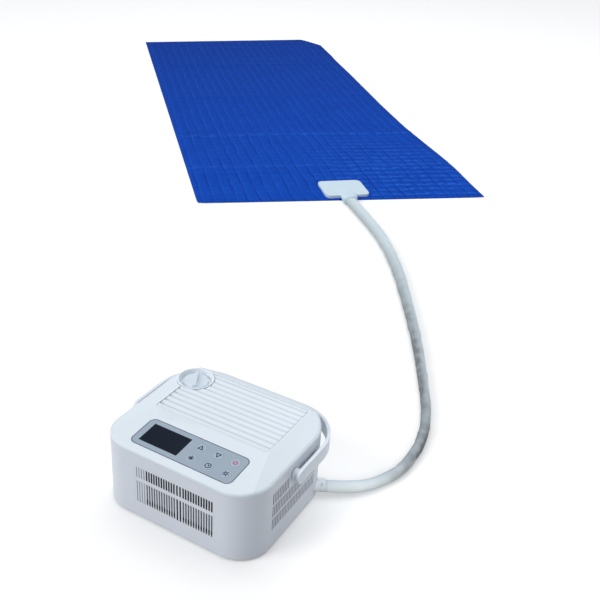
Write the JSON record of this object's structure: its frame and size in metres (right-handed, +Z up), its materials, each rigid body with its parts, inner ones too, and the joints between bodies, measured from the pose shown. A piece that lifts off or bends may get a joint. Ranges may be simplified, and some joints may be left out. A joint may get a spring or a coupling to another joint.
{
  "type": "cooling and heating mattress pad",
  "caption": "Low white bedside water unit with louvred top, sloping key panel, fold-back handle, slotted grilles, sleeved hose and quilted blue bed pad.",
  "frame": {"origin": "middle of the control unit's footprint, on the floor", "axes": "+X is the unit's right side seen from its key panel, +Y its back, +Z up; the pad lies behind and to the left"},
  "size_m": [2.327, 3.1039, 0.1279],
  "materials": {
    "white_shell": "satin white moulded plastic",
    "inner_plastic": "plain light grey moulded plastic",
    "outlet_plastic": "satin white moulded plastic",
    "cap_plastic": "soft white plastic",
    "clear_cap": "clear polished plastic",
    "seal_rubber": "soft dark rubber",
    "dark_border": "dark grey trim",
    "grey_panel": "fine grey-blue satin film",
    "display_glass": "near-black polished window",
    "display_body": "black plastic",
    "board_green": "green circuit board",
    "steel": "zinc-plated steel",
    "pin_steel": "steel painted white",
    "aluminium": "plain extruded aluminium",
    "ceramic": "white ceramic",
    "fan_black": "black fan plastic",
    "tube_silicone": "translucent white silicone",
    "hose_sleeve": "white woven sleeve over the water tubes",
    "connector_plastic": "satin white moulded plastic",
    "pad_fabric": "royal blue quilted fabric"
  },
  "bodies": {
    "unit": {"body_shell": "white_shell", "top_cover": "white_shell", "front_grille": "white_shell", "left_grille": "white_shell", "right_grille": "white_shell", "louvre_panel": "white_shell", "filler_dish": "white_shell", "base_pan": "inner_plastic", "water_tank": "inner_plastic", "tank_lid": "inner_plastic", "pump_housing": "inner_plastic", "pump_cover": "inner_plastic", "fan_frame_left": "inner_plastic", "fan_frame_right": "inner_plastic", "hose_manifold": "inner_plastic", "power_inlet": "inner_plastic", "hose_outlet": "outlet_plastic", "rubber_feet": "seal_rubber", "panel_border": "dark_border", "control_panel": "grey_panel", "display_window": "display_glass", "display_module": "display_body", "key_switches": "display_body", "control_board": "board_green", "power_board": "board_green", "housing_screws": "steel", "board_screws": "steel", "connector_screws": "steel", "power_shield": "steel", "handle_pins": "pin_steel", "heat_sink_left": "aluminium", "heat_sink_right": "aluminium", "water_block_left": "aluminium", "water_block_right": "aluminium", "cooling_tile_left": "ceramic", "cooling_tile_right": "ceramic", "tube_tank_to_pump": "tube_silicone", "tube_pump_to_block": "tube_silicone", "tube_block_to_block": "tube_silicone", "tube_block_to_hose": "tube_silicone", "tube_hose_to_tank": "tube_silicone", "hose": "hose_sleeve", "hose_collar": "connector_plastic", "connector_base": "connector_plastic", "connector_cover": "connector_plastic", "pad_top": "pad_fabric", "pad_bottom": "pad_fabric"},
    "handle": {"carry_handle": "white_shell"},
    "cap_plug": {"cap_plug": "cap_plastic", "cap_seal": "seal_rubber"},
    "cap_knob": {"cap_knob": "clear_cap"},
    "fan_left": {"fan_rotor_left": "fan_black"},
    "fan_right": {"fan_rotor_right": "fan_black"},
    "impeller": {"pump_impeller": "inner_plastic"},
    "key_up": {"key_up": "grey_panel"},
    "key_down": {"key_down": "grey_panel"},
    "key_power": {"key_power": "grey_panel"},
    "key_mode": {"key_mode": "grey_panel"},
    "key_timer": {"key_timer": "grey_panel"},
    "key_light": {"key_light": "grey_panel"}
  },
  "joints": [
    {"name": "handle_swing", "type": "hinge", "parent": "unit", "child": "handle", "pos_m": [0, -0.008, 0.0975], "axis": [1, 0, 0], "range_deg": [0, 95]},
    {"name": "cap_lift", "type": "slide", "parent": "unit", "child": "cap_plug", "axis": [0, 0, 1], "range_m": [0, 0.03]},
    {"name": "cap_turn", "type": "hinge", "parent": "cap_plug", "child": "cap_knob", "pos_m": [-0.093, 0.0715, 0.12], "axis": [0, 0, 1], "range_deg": [0, 90]},
    {"name": "fan_left_spin", "type": "hinge", "parent": "unit", "child": "fan_left", "pos_m": [-0.12, -0.02, 0.049], "axis": [1, 0, 0], "continuous": true},
    {"name": "fan_right_spin", "type": "hinge", "parent": "unit", "child": "fan_right", "pos_m": [0.12, -0.02, 0.049], "axis": [1, 0, 0], "continuous": true},
    {"name": "impeller_spin", "type": "hinge", "parent": "unit", "child": "impeller", "pos_m": [0.022, 0.06, 0.015], "axis": [0, 0, 1], "continuous": true},
    {"name": "key_up_press", "type": "slide", "parent": "unit", "child": "key_up", "axis": [0, 0.0686, -0.9976], "range_m": [0, 0.0006], "stiffness_N_per_m": 1500},
    {"name": "key_down_press", "type": "slide", "parent": "unit", "child": "key_down", "axis": [0, 0.0686, -0.9976], "range_m": [0, 0.0006], "stiffness_N_per_m": 1500},
    {"name": "key_power_press", "type": "slide", "parent": "unit", "child": "key_power", "axis": [0, 0.0686, -0.9976], "range_m": [0, 0.0006], "stiffness_N_per_m": 1500},
    {"name": "key_mode_press", "type": "slide", "parent": "unit", "child": "key_mode", "axis": [0, 0.0686, -0.9976], "range_m": [0, 0.0006], "stiffness_N_per_m": 1500},
    {"name": "key_timer_press", "type": "slide", "parent": "unit", "child": "key_timer", "axis": [0, 0.0686, -0.9976], "range_m": [0, 0.0006], "stiffness_N_per_m": 1500},
    {"name": "key_light_press", "type": "slide", "parent": "unit", "child": "key_light", "axis": [0, 0.0686, -0.9976], "range_m": [0, 0.0006], "stiffness_N_per_m": 1500}
  ]
}
